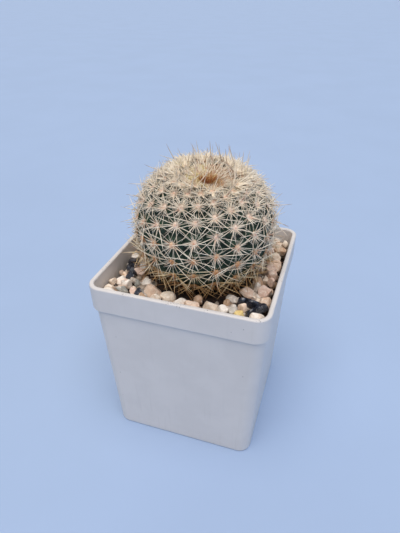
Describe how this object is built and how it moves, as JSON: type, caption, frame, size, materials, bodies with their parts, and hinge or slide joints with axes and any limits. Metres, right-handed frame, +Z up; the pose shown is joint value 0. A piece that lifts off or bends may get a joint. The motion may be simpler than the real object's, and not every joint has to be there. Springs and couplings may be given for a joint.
{
  "type": "potted globular cactus",
  "caption": "Small spiny globular cactus with a woolly crown, standing in gravel-topped soil in a square tapered white plastic pot with a collar.",
  "frame": {"origin": "middle of the pot's foot, on the surface it stands on", "axes": "+Z up, +X to the right and +Y to the back as the pot's front side is faced"},
  "size_m": [0.06, 0.06, 0.1068],
  "materials": {
    "pot_plastic": "satin",
    "potting_soil": "matte",
    "pale_stone": "matte",
    "dark_stone": "satin",
    "cactus_flesh": "matte",
    "crown_wool": "matte"
  },
  "bodies": {
    "root": {"pot": "pot_plastic", "soil": "potting_soil", "gravel_pale": "pale_stone", "gravel_dark_front_right": "dark_stone", "gravel_dark_left": "dark_stone", "gravel_dark_front_left": "dark_stone", "gravel_dark_back_left": "dark_stone", "gravel_dark_back": "dark_stone", "stem": "cactus_flesh", "crown": "crown_wool"}
  },
  "joints": []
}
